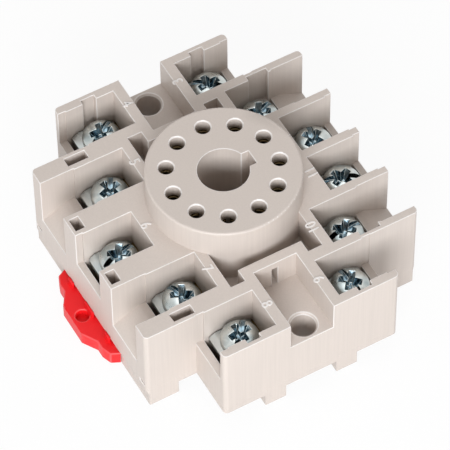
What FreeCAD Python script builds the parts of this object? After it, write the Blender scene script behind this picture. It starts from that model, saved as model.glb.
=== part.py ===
import FreeCAD, Part
import os
import Sketcher

# Eleven-pin relay socket with screw clamp terminals and a rail clip.
# Origin on the key axis at the top face of the pin disc, +Z up, the keyway towards +X.
# The mounting rail runs along Y. Right terminals open towards +X and left ones towards -X.

DOC = FreeCAD.newDocument("relay_socket")
SHEET = DOC.addObject("Spreadsheet::Sheet", "Sizes")

# Driving dimensions in millimetres and degrees. Levels are heights below the disc top.
SIZES = (
    ("block_half_width", 25.85, "middle block, key axis to its left or right face"),
    ("block_half_depth", 19.75, "middle block, key axis to its front or back face"),
    ("corner_half_width", 16.5, "corner blocks, key axis to their outer faces"),
    ("corner_half_depth", 29.3, "corner blocks, key axis to the front or back face"),
    ("corner_round", 0.8, "radius of the upright outer corners"),
    ("wall_top_level", 5.8, "disc top down to the tops of the walls"),
    ("well_floor_level", 12.2, "disc top down to the floor of the wells round the disc"),
    ("recess_floor_level", 11.8, "disc top down to the floor of the fixing recesses"),
    ("ledge_level", 13.8, "disc top down to the wire ledges"),
    ("strip_level", 14.2, "disc top down to the top of the contact strips"),
    ("seam_level", 21.0, "disc top down to the seam between housing and base plate"),
    ("underside_level", 22.45, "disc top down to the flat underside"),
    ("foot_level", 25.4, "disc top down to the soles of the feet"),
    ("disc_radius", 13.2, "pin disc"),
    ("disc_rim_round", 0.4, "rounding of the disc's upper rim"),
    ("key_radius", 4.38, "bore for the relay's key post"),
    ("keyway_reach", 5.5, "key axis to the outer wall of the keyway"),
    ("keyway_width", 2.8, "keyway"),
    ("pin_circle", 19.05, "pitch circle diameter of the pins"),
    ("pin_count", 11, "pins and terminals"),
    ("pin_hole_radius", 1.3, "pin hole"),
    ("pin_lead_in", 0.2, "bevel round each pin hole"),
    ("pin_roof", 2.4, "plastic left over each contact sleeve"),
    ("sleeve_inner_radius", 1.12, "bore of a contact sleeve"),
    ("sleeve_wall", 0.45, "sheet of a contact sleeve"),
    ("sleeve_slit", 0.7, "slit along a contact sleeve"),
    ("sleeve_clearance", 0.2, "contact sleeve to the walls of its chamber"),
    ("row_pitch", 9.5, "spacing of the terminals on the right side"),
    ("left_row_offset", 12.4, "key axis to terminals 5 and 7 along Y"),
    ("cell_width", 7.8, "terminal cell between its walls"),
    ("cell_length", 9.05, "terminal cell from its inner end to the ledge"),
    ("outer_cell_inset", 10.35, "outer face to the inner end of cells 1, 6 and 11"),
    ("middle_cell_inset", 15.4, "outer face to the inner end of cells 2, 5, 7 and 10"),
    ("corner_cell_inset", 10.55, "outer face to the inner end of cells 3, 4, 8 and 9"),
    ("mouth_relief", 0.2, "how much wider a cell's mouth is on each side"),
    ("ledge_width", 1.7, "flat part of a ledge before its ramp"),
    ("ramp_drop", 2.4, "fall of a ramp from its ledge to the outer face"),
    ("cut_over", 0.2, "how far a through cut runs past its wall"),
    ("well_half_width", 8.6, "key axis to the sides of the wells round the disc"),
    ("well_reach", 17.6, "key axis to the far side of the wells"),
    ("post_half_width", 6.0, "end wall of a recess with its two posts"),
    ("end_wall_near", 15.2, "key axis to the near face of a recess's end wall"),
    ("end_wall_far", 17.0, "key axis to the far face of a recess's end wall"),
    ("recess_half_width", 4.0, "fixing recess"),
    ("vent_width", 1.5, "slot in the end wall of a recess"),
    ("vent_top_level", 7.4, "disc top down to the top of that slot"),
    ("fixing_offset", 26.3, "key axis to each fixing hole"),
    ("fixing_radius", 2.15, "fixing hole"),
    ("fixing_bevel", 0.35, "bevel round a fixing hole"),
    ("end_groove_width", 2.5, "groove in the end wall of a corner cell"),
    ("side_groove_width", 3.8, "groove in the wall of cells 2 and 10"),
    ("side_groove_inset", 4.65, "inner end of the cell to that groove"),
    ("groove_depth", 0.9, "depth of the grooves in cell walls"),
    ("marker_long", 3.8, "marker slots beside cells 5 and 7, along X"),
    ("marker_narrow", 1.65, "marker slots, across"),
    ("marker_start", 16.2, "key axis to the inner end of the marker slots"),
    ("marker_row", 18.2, "key axis to the middle of the marker slots along Y"),
    ("square_hole_long", 2.5, "square holes beside cell 6, along Y"),
    ("square_hole_narrow", 1.65, "square holes beside cell 6, along X"),
    ("square_hole_row", 6.2, "key axis to the middle of those holes along Y"),
    ("square_hole_offset", 24.4, "key axis to the middle of those holes along X"),
    ("marker_depth", 7.0, "depth of the marker slots and square holes"),
    ("strip_thickness", 0.8, "sheet of a contact strip"),
    ("strip_side_gap", 0.2, "contact strip to the walls of its cell and channel"),
    ("strip_tuck", 1.3, "strip held under the inner end of its cell"),
    ("strip_end_gap", 0.9, "strip to the ledge at the outer end of its cell"),
    ("neck_width", 3.0, "strip between its sleeve and its terminal end"),
    ("leg_width", 4.0, "bent leg at the strip's outer end"),
    ("collar_radius", 2.7, "drawn collar that holds the screw's thread"),
    ("collar_height", 2.2, "drawn collar below the strip"),
    ("thread_radius", 1.7, "screw thread, drawn smooth"),
    ("thread_clearance", 0.05, "screw thread to the threaded collar"),
    ("clamp_hole_gap", 0.15, "screw thread to the hole of its clamp plate"),
    ("screw_inset", 4.5, "inner end of a cell to its screw"),
    ("head_radius", 3.3, "screw head"),
    ("head_height", 2.8, "screw head"),
    ("head_round", 1.3, "rounding of the screw head's upper rim"),
    ("slot_width", 0.9, "driver slot"),
    ("slot_depth", 1.1, "driver slot"),
    ("cross_length", 4.0, "cross recess, tip to tip"),
    ("cross_width", 1.1, "arms of the cross recess"),
    ("cross_depth", 1.8, "cross recess"),
    ("screw_reach", 6.5, "underside of the screw head to its tip"),
    ("screw_point", 0.5, "bevel at the screw's tip"),
    ("clamp_length", 7.8, "clamp plate along the wire"),
    ("clamp_width", 7.3, "clamp plate across the wire"),
    ("clamp_sheet", 1.0, "sheet of a clamp plate"),
    ("clamp_rise", 0.8, "height of a clamp plate's middle over its ends"),
    ("clamp_slope", 1.1, "sloping end of a clamp plate"),
    ("rail_channel_half", 19.85, "key axis to the inner faces of the side feet"),
    ("side_foot_outer", 25.4, "key axis to the outer faces of the side feet"),
    ("edge_bevel_height", 0.95, "bevel along the base plate's left and right edges"),
    ("hook_reach", 3.1, "rail hook past the side feet"),
    ("rail_lip_gap", 1.25, "underside to the rail hook, for the lip of the rail"),
    ("hook_lead", 1.1, "slope under a rail hook, along X"),
    ("hook_nose", 0.6, "upright tip of a rail hook"),
    ("hook_width", 14.0, "fixed rail hook along Y"),
    ("small_foot_inner", 4.8, "key axis to the inner side of the small feet"),
    ("small_foot_width", 4.0, "small foot along X"),
    ("small_foot_depth", 3.2, "small foot along Y"),
    ("post_gap", 0.1, "support post to the strip above it"),
    ("latch_row", 18.15, "key axis to the base plate's latches along Y"),
    ("latch_width", 1.3, "latch arm along Y"),
    ("latch_sheet", 0.9, "latch arm along X"),
    ("latch_height", 1.3, "latch arm over the seam"),
    ("latch_nose", 0.35, "how far a latch's nose reaches into its window"),
    ("latch_gap", 0.15, "latch arm to the walls of its pocket"),
    ("latch_skin", 0.6, "housing skin outside the latch pocket"),
    ("latch_window", 0.6, "window for a latch nose, in height"),
    ("clip_gap", 0.1, "rail clip to the underside"),
    ("clip_side_gap", 0.2, "rail clip to the side feet and their grooves"),
    ("clip_thickness", 2.75, "rail clip"),
    ("clip_body_half", 8.5, "rail clip between the side feet, half its width"),
    ("clip_shoulder_half", 10.0, "rail clip outside the side feet, half its width"),
    ("clip_grip_half", 3.3, "outer end of the rail clip, half its width"),
    ("clip_reach", 29.3, "key axis to the outer end of the rail clip"),
    ("clip_waist", 27.7, "key axis to the rail clip's waist"),
    ("clip_waist_half", 5.9, "rail clip at its waist, half its width"),
    ("clip_waist_run", 1.6, "straight side of the waist, along Y"),
    ("clip_cheek", 0.5, "how far the cheek beside the waist stands out"),
    ("clip_cheek_half", 9.2, "rail clip at its cheeks, half its width"),
    ("clip_stop_gap", 0.05, "rail clip's shoulders to the parted foot"),
    ("clip_tongue_half", 6.0, "tongue of the rail clip, half its width"),
    ("clip_key_width", 0.9, "guide key on each side of the rail clip"),
    ("clip_key_height", 0.9, "guide key on each side of the rail clip"),
    ("clip_travel", 2.5, "how far the rail clip slides out"),
    ("groove_wall", 0.8, "wall that closes the guide grooves outside"),
    ("driver_hole_radius", 1.2, "hole in the rail clip for a screwdriver"),
    ("driver_hole_offset", 27.4, "key axis to that hole"),
    ("notch_width", 1.5, "narrow notches over the rail clip"),
    ("notch_row", 6.4, "key axis to the narrow notches along Y"),
    ("middle_notch_width", 2.9, "middle notch over the rail clip"),
    ("notch_depth", 0.6, "notches over the rail clip, along X"),
)

for row, (alias, size, note) in enumerate(SIZES, start=1):
    SHEET.set(f"A{row}", note)
    SHEET.set(f"B{row}", str(size))
    SHEET.setAlias(f"B{row}", alias)
DOC.recompute()

# Each terminal: its side, its kind of cell and its row along Y.
TERMINALS = {
    1: (1, "outer", "Sizes.row_pitch * 0.5"),
    2: (1, "middle", "Sizes.row_pitch * 1.5"),
    3: (1, "corner", "Sizes.row_pitch * 2.5"),
    4: (-1, "corner", "Sizes.row_pitch * 2.5"),
    5: (-1, "middle", "Sizes.left_row_offset"),
    6: (-1, "outer", "0"),
    7: (-1, "middle", "-Sizes.left_row_offset"),
    8: (-1, "corner", "-Sizes.row_pitch * 2.5"),
    9: (1, "corner", "-Sizes.row_pitch * 2.5"),
    10: (1, "middle", "-Sizes.row_pitch * 1.5"),
    11: (1, "outer", "-Sizes.row_pitch * 0.5"),
}

# The outer face that each kind of cell opens through.
FACES = {
    "outer": "Sizes.block_half_width",
    "middle": "Sizes.block_half_width",
    "corner": "Sizes.corner_half_width",
}

# How far each screw happens to be turned, as on the real socket.
SCREW_TURNS = {1: 75, 2: 20, 3: 140, 4: 35, 5: 60, 6: 15, 7: 110, 8: 50, 9: 95, 10: 5, 11: 160}


def number(expression):
    # The value of an expression over the sheet.
    found = SHEET.evalExpression(expression)
    return float(getattr(found, "Value", found))


def new_body(label):
    body = DOC.addObject("PartDesign::Body", label)
    body.Label = label
    return body


def plane(body, role):
    for feature in body.Origin.OriginFeatures:
        if feature.Role == role:
            return feature
    raise ValueError(role)


def new_sketch(body, name, role="XY_Plane", offset="0", turn=None):
    # A sketch on an origin plane, shifted along the plane's normal, and turned if asked.
    sketch = body.newObject("Sketcher::SketchObject", name)
    sketch.AttachmentSupport = [(plane(body, role), "")]
    sketch.MapMode = "FlatFace"
    sketch.setExpression("AttachmentOffset.Base.z", offset)
    if turn:
        sketch.setExpression("AttachmentOffset.Rotation.Angle", turn)
    return sketch


def pin_down(sketch, places):
    # Hold points at expressions: each place is (geometry, point, x, y).
    constraints = []
    for geometry, point, x, y in places:
        constraints.append(Sketcher.Constraint("DistanceX", -1, 1, geometry, point, number(x)))
        constraints.append(Sketcher.Constraint("DistanceY", -1, 1, geometry, point, number(y)))
    first = sketch.ConstraintCount
    sketch.addConstraint(constraints)
    for step, (geometry, point, x, y) in enumerate(places):
        sketch.setExpression(f"Constraints[{first + 2 * step}]", x)
        sketch.setExpression(f"Constraints[{first + 2 * step + 1}]", y)


def outline(sketch, corners):
    # A closed outline of straight lines through corners given as pairs of expressions.
    first = sketch.GeometryCount
    count = len(corners)
    spots = [FreeCAD.Vector(number(x), number(y), 0) for x, y in corners]
    lines = [Part.LineSegment(spots[step], spots[(step + 1) % count]) for step in range(count)]
    sketch.addGeometry(lines, False)
    joints = []
    for step in range(count):
        after = first + (step + 1) % count
        joints.append(Sketcher.Constraint("Coincident", first + step, 2, after, 1))
    sketch.addConstraint(joints)
    pin_down(sketch, [(first + step, 1, x, y) for step, (x, y) in enumerate(corners)])


def rectangle(sketch, x_low, x_high, y_low, y_high):
    outline(sketch, [(x_low, y_low), (x_high, y_low), (x_high, y_high), (x_low, y_high)])


def circle(sketch, x, y, radius):
    centre = FreeCAD.Vector(number(x), number(y), 0)
    index = sketch.addGeometry(Part.Circle(centre, FreeCAD.Vector(0, 0, 1), number(radius)), False)
    pin_down(sketch, [(index, 3, x, y)])
    held = sketch.addConstraint(Sketcher.Constraint("Radius", index, number(radius)))
    sketch.setExpression(f"Constraints[{held}]", radius)


def pad(body, sketch, height, down=False, middle=False):
    feature = body.newObject("PartDesign::Pad", "Pad_" + sketch.Name)
    feature.Profile = sketch
    feature.setExpression("Length", height)
    feature.Reversed = down
    feature.Midplane = middle
    feature.Refine = False
    DOC.recompute()
    return feature


def pocket(body, sketch, depth, up=False, middle=False):
    # A cut that must take material away: it goes down from its sketch, or up if asked.
    before = body.Shape.Volume
    feature = body.newObject("PartDesign::Pocket", "Pocket_" + sketch.Name)
    feature.Profile = sketch
    feature.setExpression("Length", depth)
    feature.Reversed = up
    feature.Midplane = middle
    feature.Refine = False
    DOC.recompute()
    assert body.Shape.Volume < before, f"{feature.Name} cuts nothing"
    return feature


def mirror(body, features, role):
    # Copies of some features on the other side of an origin plane.
    feature = body.newObject("PartDesign::Mirrored", "Mirrored_" + features[0].Name)
    feature.Originals = features
    feature.MirrorPlane = (plane(body, role), [""])
    feature.Refine = False
    body.Tip = feature
    DOC.recompute()
    return feature


def dress(body, kind, edges, size):
    # A fillet or chamfer on the named edges of the body's tip.
    base = body.Tip
    feature = body.newObject(f"PartDesign::{kind}", f"{kind}_{base.Name}")
    feature.Base = (base, edges)
    feature.setExpression("Radius" if kind == "Fillet" else "Size", size)
    feature.Refine = False
    DOC.recompute()
    return feature


def is_close(a, b):
    return abs(a - b) < 1e-4


def edges_where(shape, test):
    return [f"Edge{index}" for index, edge in enumerate(shape.Edges, start=1) if test(edge)]


def upright_edges(shape, x, y):
    # Straight vertical edges at plus or minus x and plus or minus y.
    def test(edge):
        low, high = edge.Vertexes[0].Point, edge.Vertexes[-1].Point
        upright = is_close(low.x, high.x) and is_close(low.y, high.y)
        return upright and is_close(abs(low.x), x) and is_close(abs(low.y), y)
    return edges_where(shape, test)


def ring_edges(shape, radius, level):
    # Full circles of one radius at one height.
    def test(edge):
        if not isinstance(edge.Curve, Part.Circle):
            return False
        return is_close(edge.Curve.Radius, radius) and is_close(edge.Curve.Center.z, level)
    return edges_where(shape, test)


def block_outline(sketch):
    # The cross shape that the housing and the base plate share.
    wide, deep = "Sizes.block_half_width", "Sizes.block_half_depth"
    slim, long = "Sizes.corner_half_width", "Sizes.corner_half_depth"
    outline(sketch, [
        (wide, "-" + deep), (wide, deep), (slim, deep), (slim, long),
        ("-" + slim, long), ("-" + slim, deep), ("-" + wide, deep), ("-" + wide, "-" + deep),
        ("-" + slim, "-" + deep), ("-" + slim, "-" + long), (slim, "-" + long), (slim, "-" + deep),
    ])


def round_corners(body):
    shape = body.Shape
    edges = upright_edges(shape, number("Sizes.block_half_width"), number("Sizes.block_half_depth"))
    edges += upright_edges(shape, number("Sizes.corner_half_width"), number("Sizes.corner_half_depth"))
    return dress(body, "Fillet", edges, "Sizes.corner_round")


def cell_x(terminal, reach):
    # A distance outwards from the inner end of a cell, as an x in the object's frame.
    side, kind, row = TERMINALS[terminal]
    return f"{side} * ({FACES[kind]} - Sizes.{kind}_cell_inset + {reach})"


def cell_rectangle(sketch, terminal, near, far, half):
    # A rectangle in a terminal's row, between two distances from the cell's inner end.
    row = TERMINALS[terminal][2]
    rectangle(sketch, cell_x(terminal, near), cell_x(terminal, far), f"{row} - {half}", f"{row} + {half}")


def pin_angle(terminal):
    # Pins 1 and 11 lie half a step either side of the keyway.
    return f"(360 deg / Sizes.pin_count * ({terminal} - 0.5))"


def pin_place(terminal):
    angle = pin_angle(terminal)
    return f"Sizes.pin_circle / 2 * cos({angle})", f"Sizes.pin_circle / 2 * sin({angle})"


def row_side(terminal):
    # 1 for a row behind the middle cells' inner rows, -1 for one in front, 0 for the outer cells.
    if TERMINALS[terminal][1] == "outer":
        return 0
    return 1 if number(TERMINALS[terminal][2]) > 0 else -1


def strip_plan(terminal, gap, far):
    # The plan of a contact strip, grown by gap: a neck from the pin to a plate in the cell.
    side, kind, row = TERMINALS[terminal]
    toward = row_side(terminal)
    pin_x, pin_y = pin_place(terminal)
    inner = cell_x(terminal, f"(-Sizes.strip_tuck - {gap})")
    outer = cell_x(terminal, far)
    plate = f"(Sizes.cell_width / 2 - Sizes.strip_side_gap + {gap})"
    neck = f"(Sizes.neck_width / 2 + {gap})"
    if toward == 0:
        run_x, run_y = f"({inner} - {pin_x})", f"({row} - {pin_y})"
        near_corner = (inner, f"{row} - {side} * {neck}")
        far_corner = (inner, f"{row} + {side} * {neck}")
        plate_corners = [
            (inner, f"{row} - {side} * {plate}"), (outer, f"{row} - {side} * {plate}"),
            (outer, f"{row} + {side} * {plate}"), (inner, f"{row} + {side} * {plate}"),
        ]
        tail = [near_corner] + plate_corners + [far_corner]
    else:
        near_x = cell_x(terminal, gap)
        near_y = f"({row} - {toward} * {plate})"
        run_x, run_y = f"({near_x} - {pin_x})", f"({near_y} - {pin_y})"
        tail = [
            (near_x, near_y), (outer, near_y), (outer, f"{row} + {toward} * {plate}"),
            (inner, f"{row} + {toward} * {plate}"),
            (inner, f"{near_y} + {toward} * (Sizes.neck_width / 2 + 2 * {gap})"),
        ]
    angle = f"atan2({run_y}; {run_x})"
    turn = 1 if toward == 0 else side * toward
    left = (f"{pin_x} + {turn} * {neck} * sin({angle})", f"{pin_y} - {turn} * {neck} * cos({angle})")
    right = (f"{pin_x} - {turn} * {neck} * sin({angle})", f"{pin_y} + {turn} * {neck} * cos({angle})")
    return [left] + tail + [right]


def make_housing():
    body = new_body("housing")
    block = new_sketch(body, "BlockOutline", offset="-Sizes.seam_level")
    block_outline(block)
    pad(body, block, "Sizes.seam_level - Sizes.wall_top_level")
    round_corners(body)

    # Wells in front of and behind the disc, each round the end wall of a recess.
    wells = new_sketch(body, "WellOutlines", offset="-Sizes.wall_top_level")
    side, post, reach = "Sizes.well_half_width", "Sizes.post_half_width", "Sizes.well_reach"
    for sign in (1, -1):
        root = f"{sign} * Sizes.key_radius"
        far = f"{sign} * {reach}"
        wall = f"{sign} * Sizes.end_wall_near"
        outline(wells, [
            (side, root), (side, far), (post, far), (post, wall),
            ("-" + post, wall), ("-" + post, far), ("-" + side, far), ("-" + side, root),
        ])
    pocket(body, wells, "Sizes.well_floor_level - Sizes.wall_top_level")
    disc = new_sketch(body, "DiscOutline", offset="-Sizes.well_floor_level")
    circle(disc, "0", "0", "Sizes.disc_radius")
    pad(body, disc, "Sizes.well_floor_level")
    dress(body, "Fillet", ring_edges(body.Shape, number("Sizes.disc_radius"), 0), "Sizes.disc_rim_round")

    cut_recesses(body)
    cut_cells(body)
    cut_wall_details(body)
    cut_latch_pockets(body)
    cut_key_and_pins(body)
    return body


def cut_recesses(body):
    # Recess towards the front and the back, each with a fixing hole and a slotted end wall.
    recesses = new_sketch(body, "RecessOutlines", offset="-Sizes.wall_top_level")
    half = "Sizes.recess_half_width"
    for sign in (1, -1):
        near, far = f"{sign} * Sizes.end_wall_far", f"{sign} * Sizes.corner_half_depth"
        rectangle(recesses, f"-{half}", half, near, far)
    pocket(body, recesses, "Sizes.recess_floor_level - Sizes.wall_top_level")
    holes = new_sketch(body, "FixingHoles", offset="-Sizes.recess_floor_level")
    fixing_holes(holes)
    pocket(body, holes, "Sizes.seam_level - Sizes.recess_floor_level")
    rims = ring_edges(body.Shape, number("Sizes.fixing_radius"), -number("Sizes.recess_floor_level"))
    dress(body, "Chamfer", rims, "Sizes.fixing_bevel")

    vent = new_sketch(body, "EndWallSlot", "XZ_Plane", "(Sizes.end_wall_near + Sizes.end_wall_far) / 2")
    slim = "Sizes.vent_width / 2"
    outline(vent, [
        (f"-{slim}", "-Sizes.recess_floor_level"), (slim, "-Sizes.recess_floor_level"),
        (slim, "-Sizes.vent_top_level"), (f"-{slim}", "-(Sizes.vent_top_level + Sizes.vent_width / 2)"),
    ])
    slot = pocket(body, vent, "Sizes.end_wall_far - Sizes.end_wall_near + Sizes.cut_over", middle=True)
    mirror(body, [slot], "XZ_Plane")


def fixing_holes(sketch):
    for sign in (1, -1):
        circle(sketch, "0", f"{sign} * Sizes.fixing_offset", "Sizes.fixing_radius")


def cut_cells(body):
    # Terminal cells: an open well for strip and screw, then a ledge out to the wire's side.
    cells = new_sketch(body, "CellOutlines", offset="-Sizes.wall_top_level")
    mouths = new_sketch(body, "MouthOutlines", offset="-Sizes.wall_top_level")
    channels = new_sketch(body, "StripChannels", offset="-Sizes.seam_level")
    for terminal, (side, kind, row) in TERMINALS.items():
        cell_rectangle(cells, terminal, "0", "Sizes.cell_length", "Sizes.cell_width / 2")
        wide = "(Sizes.cell_width / 2 + Sizes.mouth_relief)"
        cell_rectangle(mouths, terminal, "Sizes.cell_length", f"Sizes.{kind}_cell_inset", wide)
        outline(channels, strip_plan(terminal, "Sizes.strip_side_gap", "Sizes.strip_tuck"))
    pocket(body, cells, "Sizes.seam_level - Sizes.wall_top_level")
    pocket(body, mouths, "Sizes.ledge_level - Sizes.wall_top_level")
    pocket(body, channels, "Sizes.seam_level - Sizes.strip_level", up=True)

    # Ramps that lead a wire up from the outer face to the ledge.
    ramps = []
    for terminal in (2, 5):
        side, kind, row = TERMINALS[terminal]
        ramp = new_sketch(body, f"Ramp{terminal}", "XZ_Plane", f"-({row})")
        foot = cell_x(terminal, "Sizes.cell_length + Sizes.ledge_width")
        edge = f"{side} * Sizes.block_half_width"
        outline(ramp, [
            (foot, "-Sizes.ledge_level"), (edge, "-Sizes.ledge_level"),
            (edge, "-(Sizes.ledge_level + Sizes.ramp_drop)"),
        ])
        ramps.append(pocket(body, ramp, "Sizes.cell_width + 2 * Sizes.mouth_relief", middle=True))
    mirror(body, ramps, "XZ_Plane")


def cut_wall_details(body):
    # Grooves down the walls of cells 2, 3, 4, 8, 9 and 10.
    grooves = new_sketch(body, "WallGrooves", offset="-Sizes.wall_top_level")
    wall = "(Sizes.cell_width / 2 - Sizes.mouth_relief)"
    reach = "(Sizes.cell_width / 2 + Sizes.groove_depth)"
    for terminal in (2, 3, 4, 8, 9, 10):
        side, kind, row = TERMINALS[terminal]
        low = "Sizes.screw_inset - Sizes.end_groove_width / 2"
        high = "Sizes.screw_inset + Sizes.end_groove_width / 2"
        if kind == "middle":
            low = "Sizes.side_groove_inset"
            high = "Sizes.side_groove_inset + Sizes.side_groove_width"
        toward = row_side(terminal)
        rectangle(grooves, cell_x(terminal, low), cell_x(terminal, high),
                  f"{row} + {toward} * {wall}", f"{row} + {toward} * {reach}")
    pocket(body, grooves, "Sizes.ledge_level - Sizes.wall_top_level")

    # Marker slots and square holes in the tops of the thick walls on the left.
    slots = new_sketch(body, "MarkerSlots", offset="-Sizes.wall_top_level")
    for sign in (1, -1):
        row, across = f"{sign} * Sizes.marker_row", "Sizes.marker_narrow / 2"
        rectangle(slots, "-(Sizes.marker_start + Sizes.marker_long)", "-Sizes.marker_start",
                  f"{row} - {across}", f"{row} + {across}")
        row, across = f"{sign} * Sizes.square_hole_row", "Sizes.square_hole_narrow / 2"
        rectangle(slots, f"-Sizes.square_hole_offset - {across}", f"-Sizes.square_hole_offset + {across}",
                  f"{row} - Sizes.square_hole_long / 2", f"{row} + Sizes.square_hole_long / 2")
    pocket(body, slots, "Sizes.marker_depth")


def cut_latch_pockets(body):
    # Four pockets from below for the base plate's latches, each with a window to the outside.
    pockets = new_sketch(body, "LatchPockets", offset="-Sizes.seam_level")
    windows = new_sketch(body, "LatchWindows", "YZ_Plane", "Sizes.block_half_width")
    half = "(Sizes.latch_width / 2 + Sizes.latch_gap)"
    inner = "(Sizes.block_half_width - Sizes.latch_skin - 2 * Sizes.latch_gap - Sizes.latch_sheet)"
    outer = "(Sizes.block_half_width - Sizes.latch_skin)"
    low = "(Sizes.latch_height - Sizes.latch_window - Sizes.latch_gap - Sizes.seam_level)"
    for sign in (1, -1):
        row = f"{sign} * Sizes.latch_row"
        rectangle(windows, f"{row} - {half}", f"{row} + {half}", low, f"{low} + Sizes.latch_window")
        for side in (1, -1):
            rectangle(pockets, f"{side} * {inner}", f"{side} * {outer}", f"{row} - {half}", f"{row} + {half}")
    pocket(body, pockets, "Sizes.latch_height + Sizes.latch_gap", up=True)
    window = pocket(body, windows, "Sizes.latch_skin + Sizes.latch_gap")
    mirror(body, [window], "YZ_Plane")


def cut_key_and_pins(body):
    # Key bore and keyway.
    key = new_sketch(body, "KeyBore")
    circle(key, "0", "0", "Sizes.key_radius")
    pocket(body, key, "Sizes.seam_level")
    keyway = new_sketch(body, "Keyway")
    rectangle(keyway, "0", "Sizes.keyway_reach", "-Sizes.keyway_width / 2", "Sizes.keyway_width / 2")
    pocket(body, keyway, "Sizes.seam_level")

    # One stepped pin chamber, revolved about pin 6 on the X axis and repeated round the key axis.
    profile = new_sketch(body, "PinChamber", "XZ_Plane")
    axis = "-Sizes.pin_circle / 2"
    hole = f"{axis} - Sizes.pin_hole_radius"
    chamber = f"{axis} - (Sizes.sleeve_inner_radius + Sizes.sleeve_wall + Sizes.sleeve_clearance)"
    outline(profile, [
        (axis, "0"), (f"{hole} - Sizes.pin_lead_in", "0"), (hole, "-Sizes.pin_lead_in"),
        (hole, "-Sizes.pin_roof"), (chamber, "-Sizes.pin_roof"),
        (chamber, "-Sizes.seam_level"), (axis, "-Sizes.seam_level"),
    ])
    before = body.Shape.Volume
    groove = body.newObject("PartDesign::Groove", "PinChamberGroove")
    groove.Profile = profile
    groove.ReferenceAxis = (profile, ["Edge7"])
    groove.Angle = 360
    groove.Refine = False
    DOC.recompute()
    assert body.Shape.Volume < before, "the pin chamber cuts nothing"
    pattern = body.newObject("PartDesign::PolarPattern", "PinChambers")
    pattern.Originals = [groove]
    pattern.Axis = (plane(body, "Z_Axis"), [""])
    pattern.Angle = 360
    pattern.setExpression("Occurrences", "Sizes.pin_count")
    body.Tip = pattern
    DOC.recompute()


# Where the clip's guide keys run: the height of their middle and the far end of their grooves.
KEY_LEVEL = "(Sizes.underside_level + Sizes.clip_gap + Sizes.clip_thickness / 2)"
GROOVE_END = "(Sizes.side_foot_outer - Sizes.groove_wall)"


def make_base_plate():
    body = new_body("base_plate")
    sheet = new_sketch(body, "PlateOutline", offset="-Sizes.underside_level")
    block_outline(sheet)
    pad(body, sheet, "Sizes.underside_level - Sizes.seam_level")
    round_corners(body)

    # Bevel along the left and right lower edges, which brings them in line with the feet.
    bevels = new_sketch(body, "EdgeBevels", "XZ_Plane")
    for side in (1, -1):
        face, foot = f"{side} * Sizes.block_half_width", f"{side} * Sizes.side_foot_outer"
        outline(bevels, [
            (face, "-Sizes.underside_level"), (face, "Sizes.edge_bevel_height - Sizes.underside_level"),
            (foot, "-Sizes.underside_level"),
        ])
    pocket(body, bevels, "2 * Sizes.block_half_depth", middle=True)

    # Side feet, the left one parted for the rail clip, and small feet at the front and back.
    feet = new_sketch(body, "Feet", offset="-Sizes.foot_level")
    near, far, deep = "Sizes.rail_channel_half", "Sizes.side_foot_outer", "Sizes.block_half_depth"
    parted = "(Sizes.clip_body_half + Sizes.clip_side_gap)"
    rectangle(feet, near, far, "-" + deep, deep)
    for sign in (1, -1):
        rectangle(feet, "-" + far, "-" + near, f"{sign} * {parted}", f"{sign} * {deep}")
        for side in (1, -1):
            rectangle(feet, f"{side} * Sizes.small_foot_inner",
                      f"{side} * (Sizes.small_foot_inner + Sizes.small_foot_width)",
                      f"{sign} * (Sizes.corner_half_depth - Sizes.small_foot_depth)",
                      f"{sign} * Sizes.corner_half_depth")
    pad(body, feet, "Sizes.foot_level - Sizes.underside_level")

    # Fixed hook for the rail's lip on the right, sloped underneath so that the rail rides in.
    hook = new_sketch(body, "FixedHook", "XZ_Plane")
    hook_profile(hook, 1, "Sizes.rail_channel_half", "Sizes.foot_level")
    pad(body, hook, "Sizes.hook_width", middle=True)

    holes = new_sketch(body, "PlateHoles", offset="-Sizes.seam_level")
    fixing_holes(holes)
    pocket(body, holes, "Sizes.underside_level - Sizes.seam_level")

    # Notches over the clip in the left lower edge.
    notches = new_sketch(body, "ClipNotches", offset="-Sizes.underside_level")
    edge, root = "-Sizes.block_half_width", "-(Sizes.side_foot_outer - Sizes.notch_depth)"
    for row, width in (("0", "Sizes.middle_notch_width"), ("Sizes.notch_row", "Sizes.notch_width"),
                       ("-Sizes.notch_row", "Sizes.notch_width")):
        rectangle(notches, edge, root, f"{row} - {width} / 2", f"{row} + {width} / 2")
    pocket(body, notches, "Sizes.edge_bevel_height", up=True)

    # Grooves in the parted foot for the clip's guide keys, closed outside to stop its travel.
    half = "(Sizes.clip_key_height / 2 + Sizes.clip_side_gap)"
    grooves = new_sketch(body, "ClipGrooves", offset=f"{half} - {KEY_LEVEL}")
    for sign in (1, -1):
        rectangle(grooves, "-" + near, "-" + GROOVE_END, f"{sign} * {parted}",
                  f"{sign} * ({parted} + Sizes.clip_key_width)")
    pocket(body, grooves, "Sizes.clip_key_height + 2 * Sizes.clip_side_gap")

    # Posts that hold the contact sleeves up, and latches that hook into the housing.
    posts = new_sketch(body, "SleevePosts", offset="-Sizes.seam_level")
    for terminal in TERMINALS:
        x, y = pin_place(terminal)
        circle(posts, x, y, "(Sizes.sleeve_inner_radius + Sizes.sleeve_wall)")
    height = "Sizes.seam_level - Sizes.strip_level - Sizes.strip_thickness - Sizes.post_gap"
    pad(body, posts, height)
    for sign, name in ((1, "BackLatches"), (-1, "FrontLatches")):
        latches = new_sketch(body, name, "XZ_Plane", f"-({sign}) * Sizes.latch_row")
        for side in (1, -1):
            latch_profile(latches, side)
        pad(body, latches, "Sizes.latch_width", middle=True)
    return body


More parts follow.
